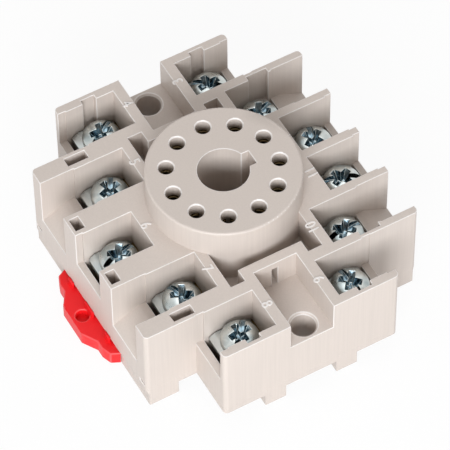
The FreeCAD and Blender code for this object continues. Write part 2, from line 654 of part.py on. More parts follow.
def hook_profile(sketch, side, root, sole):
    # A hook that reaches under the rail's lip from a root, with a sloped lead underneath.
    tip = f"{side} * (Sizes.rail_channel_half - Sizes.hook_reach)"
    lead = f"{side} * (Sizes.rail_channel_half - Sizes.hook_reach + Sizes.hook_lead)"
    top = "-(Sizes.underside_level + Sizes.rail_lip_gap)"
    outline(sketch, [
        (f"{side} * {root}", f"-{sole}"), (f"{side} * {root}", top), (tip, top),
        (tip, f"{top} - Sizes.hook_nose"), (lead, f"-{sole}"),
    ])


def latch_profile(sketch, side):
    # An upright arm on the plate with a nose that points outwards.
    outer = "(Sizes.block_half_width - Sizes.latch_skin - Sizes.latch_gap)"
    inner = f"({outer} - Sizes.latch_sheet)"
    nose = f"({outer} + Sizes.latch_nose)"
    root, top = "-Sizes.seam_level", "(Sizes.latch_height - Sizes.seam_level)"
    outline(sketch, [
        (f"{side} * {inner}", root), (f"{side} * {outer}", root),
        (f"{side} * {outer}", f"{top} - Sizes.latch_window"),
        (f"{side} * {nose}", f"{top} - Sizes.latch_window"),
        (f"{side} * {outer}", top), (f"{side} * {inner}", top),
    ])


def make_rail_clip():
    body = new_body("rail_clip")
    sole = "(Sizes.underside_level + Sizes.clip_gap + Sizes.clip_thickness)"
    plan = new_sketch(body, "ClipPlan", offset=f"-{sole}")
    root, shoulder = "-Sizes.rail_channel_half", "-(Sizes.side_foot_outer + Sizes.clip_stop_gap)"
    waist = "-Sizes.clip_waist"
    corners = [
        (root, "Sizes.clip_body_half"), (shoulder, "Sizes.clip_body_half"),
        (shoulder, "Sizes.clip_shoulder_half"),
        (f"({shoulder} + {waist}) / 2 - Sizes.clip_cheek", "Sizes.clip_cheek_half"),
        (waist, "(Sizes.clip_waist_half + Sizes.clip_waist_run)"), (waist, "Sizes.clip_waist_half"),
        ("-Sizes.clip_reach", "Sizes.clip_grip_half"),
    ]
    outline(plan, corners + [(x, f"-{y}") for x, y in reversed(corners)])
    pad(body, plan, "Sizes.clip_thickness")

    tongue = new_sketch(body, "ClipTongue", "XZ_Plane")
    hook_profile(tongue, -1, "Sizes.rail_channel_half", sole)
    pad(body, tongue, "2 * Sizes.clip_tongue_half", middle=True)

    # Guide keys that end one travel short of their grooves.
    keys = new_sketch(body, "GuideKeys", offset=f"-{KEY_LEVEL} - Sizes.clip_key_height / 2")
    for sign in (1, -1):
        rectangle(keys, f"Sizes.clip_travel - {GROOVE_END}", root, f"{sign} * Sizes.clip_body_half",
                  f"{sign} * (Sizes.clip_body_half + Sizes.clip_key_width)")
    pad(body, keys, "Sizes.clip_key_height")

    hole = new_sketch(body, "DriverHole", offset=f"-{sole} + Sizes.clip_thickness")
    circle(hole, "-Sizes.driver_hole_offset", "0", "Sizes.driver_hole_radius")
    pocket(body, hole, "Sizes.clip_thickness")
    return body


def make_contact_strip(terminal):
    body = new_body(f"contact_strip_{terminal}")
    underside = "(Sizes.strip_level + Sizes.strip_thickness)"
    far = "(Sizes.cell_length - Sizes.strip_end_gap)"
    plan = new_sketch(body, f"StripPlan{terminal}", offset=f"-{underside}")
    outline(plan, strip_plan(terminal, "0", far))
    pad(body, plan, "Sizes.strip_thickness")

    # Sleeve for the relay's pin, slit towards the key axis.
    x, y = pin_place(terminal)
    wall = new_sketch(body, f"Sleeve{terminal}", offset=f"-{underside}")
    circle(wall, x, y, "(Sizes.sleeve_inner_radius + Sizes.sleeve_wall)")
    pad(body, wall, f"{underside} - Sizes.pin_roof - Sizes.sleeve_clearance")
    bore = new_sketch(body, f"SleeveBore{terminal}", offset="-Sizes.pin_roof")
    circle(bore, x, y, "Sizes.sleeve_inner_radius")
    pocket(body, bore, f"{underside} - Sizes.pin_roof")
    slit = new_sketch(body, f"SleeveSlit{terminal}", offset="-Sizes.pin_roof", turn=pin_angle(terminal))
    half = "Sizes.sleeve_slit / 2"
    start = "Sizes.pin_circle / 2 - Sizes.sleeve_inner_radius - 2 * Sizes.sleeve_wall"
    rectangle(slit, start, "Sizes.pin_circle / 2", f"-{half}", half)
    pocket(body, slit, "Sizes.strip_level - Sizes.pin_roof - Sizes.sleeve_wall")

    # Leg that stands on the base plate, and the drawn collar for the screw.
    leg = new_sketch(body, f"Leg{terminal}", offset=f"-{underside}")
    cell_rectangle(leg, terminal, f"{far} - Sizes.strip_thickness", far, "Sizes.leg_width / 2")
    pad(body, leg, f"Sizes.seam_level - {underside}", down=True)
    screw_x, row = cell_x(terminal, "Sizes.screw_inset"), TERMINALS[terminal][2]
    collar = new_sketch(body, f"Collar{terminal}", offset=f"-{underside}")
    circle(collar, screw_x, row, "Sizes.collar_radius")
    pad(body, collar, "Sizes.collar_height", down=True)
    thread = new_sketch(body, f"Thread{terminal}", offset="-Sizes.strip_level")
    circle(thread, screw_x, row, "(Sizes.thread_radius + Sizes.thread_clearance)")
    pocket(body, thread, "Sizes.strip_thickness + Sizes.collar_height")
    return body


def seat(body, terminal, level, turn):
    # Stand a body made round its own origin on the axis of a terminal's screw.
    body.Placement = FreeCAD.Placement(FreeCAD.Vector(), FreeCAD.Rotation(FreeCAD.Vector(0, 0, 1), turn))
    body.setExpression("Placement.Base.x", cell_x(terminal, "Sizes.screw_inset"))
    body.setExpression("Placement.Base.y", TERMINALS[terminal][2])
    body.setExpression("Placement.Base.z", level)
    DOC.recompute()


def make_clamp_plate(terminal):
    # A saddle plate whose sloping ends press on the strip or on a wire.
    body = new_body(f"clamp_plate_{terminal}")
    profile = new_sketch(body, f"ClampProfile{terminal}", "XZ_Plane")
    end, knee = "Sizes.clamp_length / 2", "(Sizes.clamp_length / 2 - Sizes.clamp_slope)"
    sheet, rise = "Sizes.clamp_sheet", "Sizes.clamp_rise"
    outline(profile, [
        (f"-{end}", "0"), (f"-{knee}", rise), (knee, rise), (end, "0"), (end, sheet),
        (knee, f"{rise} + {sheet}"), (f"-{knee}", f"{rise} + {sheet}"), (f"-{end}", sheet),
    ])
    pad(body, profile, "Sizes.clamp_width", middle=True)
    hole = new_sketch(body, f"ClampHole{terminal}", offset=f"{rise} + {sheet}")
    circle(hole, "0", "0", "(Sizes.thread_radius + Sizes.clamp_hole_gap)")
    pocket(body, hole, sheet)
    seat(body, terminal, "-Sizes.strip_level", 90 - 90 * TERMINALS[terminal][0])
    return body


def make_screw(terminal):
    # A pan head screw with a driver slot across a cross recess.
    body = new_body(f"terminal_screw_{terminal}")
    profile = new_sketch(body, f"ScrewProfile{terminal}", "XZ_Plane")
    outline(profile, [
        ("0", "-Sizes.screw_reach"), ("Sizes.thread_radius - Sizes.screw_point", "-Sizes.screw_reach"),
        ("Sizes.thread_radius", "Sizes.screw_point - Sizes.screw_reach"), ("Sizes.thread_radius", "0"),
        ("Sizes.head_radius", "0"), ("Sizes.head_radius", "Sizes.head_height"), ("0", "Sizes.head_height"),
    ])
    turned = body.newObject("PartDesign::Revolution", f"Turned{terminal}")
    turned.Profile = profile
    turned.ReferenceAxis = (profile, ["V_Axis"])
    turned.Angle = 360
    DOC.recompute()
    rim = ring_edges(body.Shape, number("Sizes.head_radius"), number("Sizes.head_height"))
    dress(body, "Fillet", rim, "Sizes.head_round")

    slot = new_sketch(body, f"DriverSlot{terminal}", offset="Sizes.head_height")
    across = "Sizes.slot_width / 2"
    rectangle(slot, "-Sizes.head_radius", "Sizes.head_radius", "-" + across, across)
    pocket(body, slot, "Sizes.slot_depth")
    cross = new_sketch(body, f"CrossRecess{terminal}", offset="Sizes.head_height")
    arm, tip = "Sizes.cross_width / 2", "Sizes.cross_length / 2"
    outline(cross, [
        (tip, f"-{arm}"), (tip, arm), (arm, arm), (arm, tip), (f"-{arm}", tip), (f"-{arm}", arm),
        (f"-{tip}", arm), (f"-{tip}", f"-{arm}"), (f"-{arm}", f"-{arm}"), (f"-{arm}", f"-{tip}"),
        (arm, f"-{tip}"), (arm, f"-{arm}"),
    ])
    pocket(body, cross, "Sizes.cross_depth")
    seat(body, terminal, "Sizes.clamp_rise + Sizes.clamp_sheet - Sizes.strip_level", SCREW_TURNS[terminal])
    return body


def check_and_write(bodies):
    for item in DOC.Objects:
        if "Invalid" in item.State or "Error" in item.State:
            raise RuntimeError(f"{item.Name} failed: {item.State}")
    os.makedirs("parts", exist_ok=True)
    for body in bodies:
        shape = body.Shape
        if shape.isNull() or not shape.isValid() or len(shape.Solids) != 1:
            raise RuntimeError(f"{body.Label} isn't one valid solid")
    for body in bodies:
        body.Shape.exportStep(f"parts/{body.Label}.step")
        print(body.Label, round(body.Shape.Volume, 1), "mm3")


made = [make_housing(), make_base_plate(), make_rail_clip()]
made += [make_contact_strip(terminal) for terminal in TERMINALS]
made += [make_clamp_plate(terminal) for terminal in TERMINALS]
made += [make_screw(terminal) for terminal in TERMINALS]
DOC.recompute()
check_and_write(made)
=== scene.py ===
import math

import bmesh
import bpy
from mathutils import Matrix, Vector
from mathutils.bvhtree import BVHTree


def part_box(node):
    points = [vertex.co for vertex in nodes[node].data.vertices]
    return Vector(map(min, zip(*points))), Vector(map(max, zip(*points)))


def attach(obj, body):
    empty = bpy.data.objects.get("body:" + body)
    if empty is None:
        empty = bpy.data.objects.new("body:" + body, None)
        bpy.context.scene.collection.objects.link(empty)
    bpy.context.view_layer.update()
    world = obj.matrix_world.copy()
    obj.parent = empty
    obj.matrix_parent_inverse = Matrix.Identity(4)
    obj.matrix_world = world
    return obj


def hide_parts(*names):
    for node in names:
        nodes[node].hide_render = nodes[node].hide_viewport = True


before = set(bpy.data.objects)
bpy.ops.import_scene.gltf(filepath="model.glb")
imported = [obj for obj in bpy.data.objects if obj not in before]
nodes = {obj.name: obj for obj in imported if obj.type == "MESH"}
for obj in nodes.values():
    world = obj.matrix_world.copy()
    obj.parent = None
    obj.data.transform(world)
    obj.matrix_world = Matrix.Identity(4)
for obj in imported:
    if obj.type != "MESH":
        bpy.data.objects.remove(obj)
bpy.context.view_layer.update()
mm = 0.001

# Terminals: 1 on the right side and -1 on the left, and how far each screw's slot is turned, in degrees
terminalSide = {1: 1, 2: 1, 3: 1, 4: -1, 5: -1, 6: -1, 7: -1, 8: -1, 9: 1, 10: 1, 11: 1}
screwTurn = {1: 75, 2: 20, 3: 140, 4: 35, 5: 60, 6: 15, 7: 110, 8: 50, 9: 95, 10: 5, 11: 160}


# Small helpers

def addNode(tree, kind, at, **values):
    node = tree.nodes.new(kind)
    node.location = at
    for name, value in values.items():
        setattr(node, name, value)
    return node


def setInputs(node, **values):
    for name, value in values.items():
        node.inputs[name.replace("_", " ")].default_value = value


def addMath(tree, at, operation, *parts):
    # Each part is a socket to link or a fixed number
    step = addNode(tree, "ShaderNodeMath", at, operation=operation)
    for socket, part in zip(step.inputs, parts):
        if isinstance(part, bpy.types.NodeSocket):
            tree.links.new(part, socket)
        else:
            socket.default_value = part
    return step.outputs[0]


def addObject(name, data):
    made = bpy.data.objects.new(name, data)
    bpy.context.scene.collection.objects.link(made)
    return made


def meshFromBmesh(name, bm):
    mesh = bpy.data.meshes.new(name)
    bm.to_mesh(mesh)
    bm.free()
    return addObject(name, mesh)


def addMaterials(piece, *materials):
    for material in materials:
        piece.data.materials.append(material)


def applyModifiers(piece):
    # Keeps what the modifiers make as the piece's own mesh
    graph = bpy.context.evaluated_depsgraph_get()
    made = bpy.data.meshes.new_from_object(piece.evaluated_get(graph))
    old = piece.data
    piece.modifiers.clear()
    piece.data = made
    made.name = piece.name
    bpy.data.meshes.remove(old)


def evenNormals(piece):
    # Flat faces stay evenly lit up to their rounded edges
    weighting = piece.modifiers.new("evenNormals", "WEIGHTED_NORMAL")
    weighting.mode = "FACE_AREA"
    weighting.weight = 100
    weighting.keep_sharp = True
    applyModifiers(piece)


def smoothByAngle(piece, degrees):
    bm = bmesh.new()
    bm.from_mesh(piece.data)
    for face in bm.faces:
        face.smooth = True
    for edge in bm.edges:
        edge.smooth = edge.is_manifold and edge.calc_face_angle(0) < math.radians(degrees)
    bm.to_mesh(piece.data)
    bm.free()


def addBox(bm, size, center):
    made = bmesh.ops.create_cube(bm, size=1.0)["verts"]
    bmesh.ops.scale(bm, vec=size, verts=made)
    bmesh.ops.translate(bm, vec=center, verts=made)


def addPin(bm, radius, length, center, facets):
    made = bmesh.ops.create_cone(bm, cap_ends=True, segments=facets, radius1=radius, radius2=radius,
                                 depth=length)["verts"]
    bmesh.ops.translate(bm, vec=center, verts=made)


# Shader groups

def newGroup(name, inputs):
    # Colours and numbers go in, and a finish's colour, roughness and height come out
    group = bpy.data.node_groups.new(name, "ShaderNodeTree")
    for label, value in inputs.items():
        kind = "NodeSocketColor" if isinstance(value, tuple) else "NodeSocketFloat"
        socket = group.interface.new_socket(name=label, in_out="INPUT", socket_type=kind)
        socket.default_value = value
    group.interface.new_socket(name="Color", in_out="OUTPUT", socket_type="NodeSocketColor")
    for label in ("Roughness", "Height"):
        group.interface.new_socket(name=label, in_out="OUTPUT", socket_type="NodeSocketFloat")
    start = addNode(group, "NodeGroupInput", (-1100, 0))
    end = addNode(group, "NodeGroupOutput", (700, 0))
    return group, start.outputs, end.inputs


def addNoise(tree, at, place, scale, **values):
    noise = addNode(tree, "ShaderNodeTexNoise", at)
    setInputs(noise, **values)
    tree.links.new(place, noise.inputs["Vector"])
    tree.links.new(scale, noise.inputs["Scale"])
    return noise.outputs["Fac"]


def stretched(tree, at, place, scale):
    mapping = addNode(tree, "ShaderNodeMapping", at)
    setInputs(mapping, Scale=scale)
    tree.links.new(place, mapping.inputs["Vector"])
    return mapping.outputs["Vector"]


mouldMarks = {"upright": (1.0, 1.0, 0.02), "roughSpread": 0.14}
metalMarks = {"drawn": (1.0, 0.12, 1.0), "patchFrom": 0.42, "patchTo": 0.66, "roughSpread": 0.2}
noiseMiddle = 0.5


def mouldedGroup():
    # Moulded plastic: cloudy tone, fine grain, and the faint upright lines that a mould's walls leave
    group, given, result = newGroup("mouldedPlastic", {
        "Color": (0.5, 0.5, 0.5, 1), "Cloud Scale": 60.0, "Cloud Amount": 0.08, "Line Scale": 1800.0,
        "Line Amount": 0.03, "Grain Scale": 2500.0, "Roughness": 0.45,
    })
    place = addNode(group, "ShaderNodeTexCoord", (-1100, -300)).outputs["Object"]
    upright = stretched(group, (-880, 0), place, mouldMarks["upright"])
    clouds = addNoise(group, (-650, 250), place, given["Cloud Scale"], Detail=4.0, Roughness=0.6)
    lines = addNoise(group, (-650, 0), upright, given["Line Scale"], Detail=2.0, Roughness=0.5)
    grain = addNoise(group, (-650, -350), place, given["Grain Scale"], Detail=3.0, Roughness=0.55)

    cloudShift = addMath(group, (-450, 250), "SUBTRACT", clouds, noiseMiddle)
    lineShift = addMath(group, (-450, 0), "SUBTRACT", lines, noiseMiddle)
    cloudTone = addMath(group, (-250, 250), "MULTIPLY_ADD", cloudShift, given["Cloud Amount"], 1.0)
    value = addMath(group, (-60, 150), "MULTIPLY_ADD", lineShift, given["Line Amount"], cloudTone)
    tone = addNode(group, "ShaderNodeHueSaturation", (150, 200))
    group.links.new(given["Color"], tone.inputs["Color"])
    group.links.new(value, tone.inputs["Value"])
    height = addMath(group, (-250, -150), "ADD", grain, lines)
    spread = mouldMarks["roughSpread"]
    rough = addMath(group, (-60, -350), "MULTIPLY_ADD", grain, spread, given["Roughness"])
    group.links.new(tone.outputs["Color"], result["Color"])
    group.links.new(rough, result["Roughness"])
    group.links.new(height, result["Height"])
    return group


def platedGroup():
    # Plated or rolled metal: tone patches, drawn lines and small marks
    group, given, result = newGroup("platedMetal", {
        "Color": (0.7, 0.7, 0.7, 1), "Patch Color": (0.4, 0.5, 0.55, 1), "Patch Scale": 450.0,
        "Patch Amount": 0.5, "Line Scale": 3000.0, "Roughness": 0.25,
    })
    place = addNode(group, "ShaderNodeTexCoord", (-1100, -300)).outputs["Object"]
    drawn = stretched(group, (-700, -350), place, metalMarks["drawn"])
    patches = addNoise(group, (-650, 100), place, given["Patch Scale"],
                       Detail=3.0, Roughness=0.5, Distortion=0.6)
    lines = addNoise(group, (-480, -350), drawn, given["Line Scale"], Detail=2.0, Roughness=0.6)

    mask = addNode(group, "ShaderNodeMapRange", (-430, 100))
    setInputs(mask, From_Min=metalMarks["patchFrom"], From_Max=metalMarks["patchTo"])
    group.links.new(patches, mask.inputs["Value"])
    amount = addMath(group, (-220, 100), "MULTIPLY", mask.outputs["Result"], given["Patch Amount"])
    paint = addNode(group, "ShaderNodeMix", (60, 60), data_type="RGBA")
    group.links.new(amount, paint.inputs["Factor"])
    # A Mix node's colours are its inputs 6 and 7, and they come out mixed at output 2
    group.links.new(given["Color"], paint.inputs[6])
    group.links.new(given["Patch Color"], paint.inputs[7])
    group.links.new(paint.outputs[2], result["Color"])

    spread = metalMarks["roughSpread"]
    shift = addMath(group, (-220, -350), "MULTIPLY_ADD", lines, spread, -spread / 2)
    rough = addMath(group, (0, -350), "ADD", shift, given["Roughness"])
    group.links.new(rough, result["Roughness"])
    group.links.new(lines, result["Height"])
    return group


moulded = mouldedGroup()
plated = platedGroup()


# Materials

housingLook = {
    "Color": (0.61, 0.538, 0.488, 1), "Cloud Scale": 55.0, "Cloud Amount": 0.06, "Line Scale": 3400.0,
    "Line Amount": 0.13, "Grain Scale": 2600.0, "Roughness": 0.36,
}
clipLook = {
    "Color": (0.80, 0.012, 0.016, 1), "Cloud Scale": 120.0, "Cloud Amount": 0.10, "Line Scale": 1500.0,
    "Line Amount": 0.03, "Grain Scale": 2200.0, "Roughness": 0.32,
}
screwLook = {
    "Color": (0.60, 0.63, 0.61, 1), "Patch Color": (0.20, 0.27, 0.29, 1), "Patch Scale": 360.0,
    "Patch Amount": 0.6, "Line Scale": 1500.0, "Roughness": 0.3,
}
# Darker plated colour for the cross recess, driver slot and dot: painted shade and painted dark reflection
recessShadeLook = {
    "Color": (0.24, 0.33, 0.38, 1), "Patch Color": (0.03, 0.045, 0.06, 1), "Patch Scale": 900.0,
    "Patch Amount": 0.75, "Line Scale": 1500.0, "Roughness": 0.18,
}
clampLook = {
    "Color": (0.58, 0.61, 0.60, 1), "Patch Color": (0.33, 0.39, 0.40, 1), "Patch Scale": 300.0,
    "Patch Amount": 0.6, "Line Scale": 2600.0, "Roughness": 0.32,
}
brassLook = {
    "Color": (0.40, 0.31, 0.17, 1), "Patch Color": (0.22, 0.16, 0.09, 1), "Patch Scale": 260.0,
    "Patch Amount": 0.5, "Line Scale": 4200.0, "Roughness": 0.3,
}
plasticSurface = {"metallic": 0.0, "specular": 0.5, "strength": 0.25, "distance": 0.02 * mm}
dullSurface = {**plasticSurface, "specular": 0.3}
metalSurface = {"metallic": 1.0, "specular": 0.5, "strength": 0.1, "distance": 0.004 * mm}
# How far each painted highlight is blended towards white: rounded edges and raised numbers
palerShare = {"housingEdgeHighlight": 0.42, "number": 0.5, "clipEdgeHighlight": 0.07}


def newMaterial(name, group, look, surface):
    # One Principled shader fed by a group, with a bump from the group's height
    material = bpy.data.materials.new(name)
    material.use_nodes = True
    tree = material.node_tree
    shader = tree.nodes["Principled BSDF"]
    effect = addNode(tree, "ShaderNodeGroup", (-450, 100), node_tree=group)
    for label, value in look.items():
        effect.inputs[label].default_value = value
    tree.links.new(effect.outputs["Color"], shader.inputs["Base Color"])
    tree.links.new(effect.outputs["Roughness"], shader.inputs["Roughness"])
    relief = addNode(tree, "ShaderNodeBump", (-220, -200))
    setInputs(relief, Strength=surface["strength"], Distance=surface["distance"])
    tree.links.new(effect.outputs["Height"], relief.inputs["Height"])
    tree.links.new(relief.outputs["Normal"], shader.inputs["Normal"])
    setInputs(shader, Metallic=surface["metallic"], Specular_IOR_Level=surface["specular"])
    return material


def paler(look, share):
    # The same finish, blended towards white for a painted highlight
    color = [part + (1 - part) * share for part in look["Color"][:3]] + [1]
    return {**look, "Color": color}


# Paler copies of the finishes, painted highlights for rounded edges and raised numbers
housingEdgeHighlightLook = paler(housingLook, palerShare["housingEdgeHighlight"])
numberHighlightLook = paler(housingLook, palerShare["number"])
clipEdgeHighlightLook = paler(clipLook, palerShare["clipEdgeHighlight"])
housingPlastic = newMaterial("housingPlastic", moulded, housingLook, plasticSurface)
housingEdgeHighlight = newMaterial("housingEdgeHighlight", moulded, housingEdgeHighlightLook, plasticSurface)
numberHighlightPlastic = newMaterial("numberHighlightPlastic", moulded, numberHighlightLook, plasticSurface)
clipPlastic = newMaterial("clipPlastic", moulded, clipLook, dullSurface)
clipEdgeHighlight = newMaterial("clipEdgeHighlight", moulded, clipEdgeHighlightLook, dullSurface)
zincScrew = newMaterial("zincScrew", plated, screwLook, metalSurface)
zincRecessShade = newMaterial("zincRecessShade", plated, recessShadeLook, metalSurface)
zincClamp = newMaterial("zincClamp", plated, clampLook, metalSurface)
rolledBrass = newMaterial("rolledBrass", plated, brassLook, metalSurface)
print("materials made")


# Moulded and pressed pieces: the construction shapes with the small radii that tools leave on their edges

softEdges = {
    "longGap": 0.6 * mm, "stripe": 4.0 * mm, "join": 0.002 * mm, "onPlane": 0.0001 * mm,
    "flatAngle": 1.0, "edgeAngle": 35.0, "smoothAngle": 40.0,
    "narrowTip": 40.0, "narrowFace": 1.8, "seamLevel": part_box("housing")[0].z, "seamShare": 0.3,
}
housingEdges = {"radius": 0.12 * mm, "segments": 2}
baseEdges = {"radius": 0.12 * mm, "segments": 2}
clipEdges = {"radius": 0.2 * mm, "segments": 3}
stripEdges = {"radius": 0.08 * mm, "segments": 1}
clampEdges = {"radius": 0.16 * mm, "segments": 2}


def dissolveFlat(bm):
    limit = math.radians(softEdges["flatAngle"])
    bmesh.ops.dissolve_limit(bm, angle_limit=limit, verts=bm.verts, edges=bm.edges)


def stripeAcross(bm, axis):
    # Long flat faces become stripes, so that the edge rounding leaves no thin fans
    values = sorted({round(corner.co[axis], 6) for corner in bm.verts})
    normal = Vector([1.0 if i == axis else 0.0 for i in range(3)])
    for low, high in zip(values, values[1:]):
        if high - low <= softEdges["longGap"]:
            continue
        count = max(1, round((high - low) / softEdges["stripe"]))
        for i in range(count):
            place = low + (high - low) * (i + 0.5) / count
            whole = bm.verts[:] + bm.edges[:] + bm.faces[:]
            bmesh.ops.bisect_plane(bm, geom=whole, dist=softEdges["onPlane"],
                                   plane_co=normal * place, plane_no=normal)


def narrowFaces(edge, limit):
    # True where the edge runs along a face too narrow to give up two roundings
    for face in edge.link_faces:
        longest = max(side.calc_length() for side in face.edges)
        if face.calc_area() / longest < limit and edge.calc_length() > longest / 2:
            return True
    return False


def narrowTips(edges):
    # The edges that meet another one of them in a narrow tip
    tips = set()
    for corner in {corner for edge in edges for corner in edge.verts}:
        ends = [edge for edge in corner.link_edges if edge in edges]
        for i, one in enumerate(ends):
            for other in ends[i + 1:]:
                along = one.other_vert(corner).co - corner.co
                across = other.other_vert(corner).co - corner.co
                if along.angle(across) < math.radians(softEdges["narrowTip"]):
                    tips.update((one, other))
    return tips


def markSharpEdges(bm, radius):
    # The edges to round: sharp outer ones, except beside narrow faces and in narrow tips
    weight = bm.edges.layers.float.new("bevel_weight_edge")
    sharp = {edge for edge in bm.edges
             if edge.calc_face_angle_signed(0) > math.radians(softEdges["edgeAngle"])
             and not narrowFaces(edge, softEdges["narrowFace"] * radius)}
    for edge in sharp - narrowTips(sharp):
        # The seam between the two mouldings stays a fine line
        onSeam = all(abs(corner.co.z - softEdges["seamLevel"]) < softEdges["join"] for corner in edge.verts)
        edge[weight] = softEdges["seamShare"] if onSeam else 1.0


def softenedCopy(node, name, edges, materials, body, reshape=None):
    # The materials are the finish of the faces, then that of the rounded edges, which where it is paler is
    # a painted highlight
    piece = addObject(name, nodes[node].data.copy())
    oldNormals = piece.data.attributes.get("custom_normal")  # made for the plain shape, so they go
    if oldNormals:
        piece.data.attributes.remove(oldNormals)
    bm = bmesh.new()
    bm.from_mesh(piece.data)
    bmesh.ops.remove_doubles(bm, verts=bm.verts, dist=softEdges["join"])
    dissolveFlat(bm)
    if reshape:
        reshape(bm)
    for axis in (0, 1):
        stripeAcross(bm, axis)
    markSharpEdges(bm, edges["radius"])
    bm.to_mesh(piece.data)
    bm.free()
    rounding = piece.modifiers.new("edgeRadius", "BEVEL")
    rounding.width = edges["radius"]
    rounding.segments = edges["segments"]
    rounding.limit_method = "WEIGHT"
    rounding.use_clamp_overlap = False
    rounding.loop_slide = False
    # The rounded edges take the last material, a painted highlight where it is paler
    rounding.material = len(materials) - 1
    piece.data.materials.clear()
    addMaterials(piece, *materials)
    applyModifiers(piece)
    smoothByAngle(piece, softEdges["smoothAngle"])
    evenNormals(piece)
    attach(piece, body)
    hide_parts(node)
    return piece


# The slot in each recess's end wall, and the mouths of the disc's holes, whose rims get a painted highlight
endSlot = {
    "halfWidth": 0.75 * mm, "slimmer": 0.55 * mm, "near": 15.1 * mm, "far": 17.1 * mm,
    "top": -7.4 * mm, "lowCorner": -8.15 * mm, "floor": -11.9 * mm,
}
holeRim = {"depth": 0.6 * mm, "reach": 12.2 * mm, "steepest": 0.15, "flattest": 0.97}


def slimEndSlots(bm):
    # Brings the slot's sides in and lifts the low ends of its top
    for corner in bm.verts:
        x, y, z = corner.co
        besideSlot = abs(abs(x) - endSlot["halfWidth"]) < softEdges["join"]
        inWall = endSlot["near"] < abs(y) < endSlot["far"]
        if besideSlot and inWall and endSlot["floor"] < z < endSlot["top"] + softEdges["join"]:
            corner.co.x = math.copysign(endSlot["slimmer"], x)
            if abs(z - endSlot["lowCorner"]) < softEdges["join"]:
                corner.co.z = endSlot["top"]


def paleRims(piece):
    # Tilted faces near the disc's holes take the paler edge material, a painted highlight
    for face in piece.data.polygons:
        tilted = holeRim["steepest"] < face.normal.z < holeRim["flattest"]
        inside = math.hypot(face.center.x, face.center.y) < holeRim["reach"]
        if tilted and inside and face.center.z > -holeRim["depth"]:
            face.material_index = 1


housing = softenedCopy("housing", "mouldedHousing", housingEdges, (housingPlastic, housingEdgeHighlight),
                       "socket", slimEndSlots)
paleRims(housing)
softenedCopy("base_plate", "mouldedBase", baseEdges, (housingPlastic,), "socket")
softenedCopy("rail_clip", "railClip", clipEdges, (clipPlastic, clipEdgeHighlight), "clip")
for terminal in terminalSide:
    softenedCopy(f"contact_strip_{terminal}", f"contactStrip{terminal}", stripEdges, (rolledBrass,),
                 "socket")
    softenedCopy(f"clamp_plate_{terminal}", f"clampPlate{terminal}", clampEdges, (zincClamp,),
                 f"clamp_{terminal}")
print("moulded and pressed pieces made")


# Terminal screws: a domed head with a driver slot across a cross recess, and a threaded shank

screwHead = {
    "radius": 3.3 * mm, "height": 2.8 * mm, "rimHeight": 1.15 * mm, "underEdge": 0.15 * mm,
    "seatGap": 0.02 * mm, "domeFullness": 0.72, "domeSteps": 12, "facets": 72, "edge": 0.07 * mm,
    "edgeAngle": 35.0, "smoothAngle": 38.0,
}
recess = {
    "slotWidth": 0.95 * mm, "slotDepth": 1.2 * mm, "slotLength": 8 * mm, "armLength": 2.3 * mm,
    "armWidth": 1.35 * mm, "armTaper": 0.4, "crossDepth": 2.1 * mm, "overTop": 0.3 * mm, "skin": 0.03 * mm,
}
markDot = {
    "radius": 0.2 * mm, "place": 1.75 * mm, "angle": 22.0, "depth": 0.35 * mm, "domeFall": 0.45 * mm,
    "facets": 16,
}
thread = {
    "crest": 1.7 * mm, "root": 1.42 * mm, "pitch": 0.6 * mm, "reach": 6.5 * mm, "point": 0.5 * mm,
    "tipShare": 0.72, "facets": 24, "rowsPerPitch": 4,
}


def headProfile():
    # Radius and height from the seat up over the dome
    radius, rim = screwHead["radius"], screwHead["rimHeight"]
    gap, edge = screwHead["seatGap"], screwHead["underEdge"]
    points = [(0.0, gap), (radius - edge, gap), (radius, edge), (radius, rim)]
    for step in range(1, screwHead["domeSteps"]):
        turn = math.radians(90 * step / screwHead["domeSteps"])
        points.append((radius * math.cos(turn) ** screwHead["domeFullness"],
                       rim + (screwHead["height"] - rim) * math.sin(turn)))
    return points + [(0.0, screwHead["height"])]


def addRing(bm, radii, height):
    # The radii stand evenly round the axis, and one of zero is a pole
    turns = [2 * math.pi * i / len(radii) for i in range(len(radii))]
    return [bm.verts.new((radius * math.cos(turn), radius * math.sin(turn), height))
            for radius, turn in zip(radii, turns)]


def joinRings(bm, low, high):
    count = max(len(low), len(high))
    for i in range(count):
        j = (i + 1) % count
        if len(low) == 1:
            bm.faces.new((low[0], high[j], high[i]))
        elif len(high) == 1:
            bm.faces.new((low[i], low[j], high[0]))
        else:
            bm.faces.new((low[i], low[j], high[j], high[i]))


def lathe(bm, profile, count):
    rings = [addRing(bm, [radius] * (count if radius else 1), height) for radius, height in profile]
    for low, high in zip(rings, rings[1:]):
        joinRings(bm, low, high)


def makeRecessArm(angle):
    # One tapered arm of the cross recess, wider at the top
    turn = Matrix.Rotation(angle, 3, "Z")
    bottom = screwHead["height"] - recess["crossDepth"]
    top = screwHead["height"] + recess["overTop"]
    bm = bmesh.new()
    corners = []
    for height, scale in ((bottom, recess["armTaper"]), (top, 1.0)):
        side = recess["armWidth"] / 2 * scale
        far = recess["armLength"] * scale
        for x, y in ((-side, -side), (far, -side), (far, side), (-side, side)):
            corners.append(bm.verts.new(turn @ Vector((x, y, height))))
    a, b, c, d, e, f, g, h = corners
    for face in ((d, c, b, a), (e, f, g, h), (a, b, f, e), (b, c, g, f), (c, d, h, g), (d, a, e, h)):
        bm.faces.new(face)
    return meshFromBmesh("recessArm", bm)


def makeDriverSlot():
    bm = bmesh.new()
    size = (recess["slotLength"], recess["slotWidth"], 2 * recess["slotDepth"])
    addBox(bm, size, (0, 0, screwHead["height"]))
    return meshFromBmesh("driverSlot", bm)


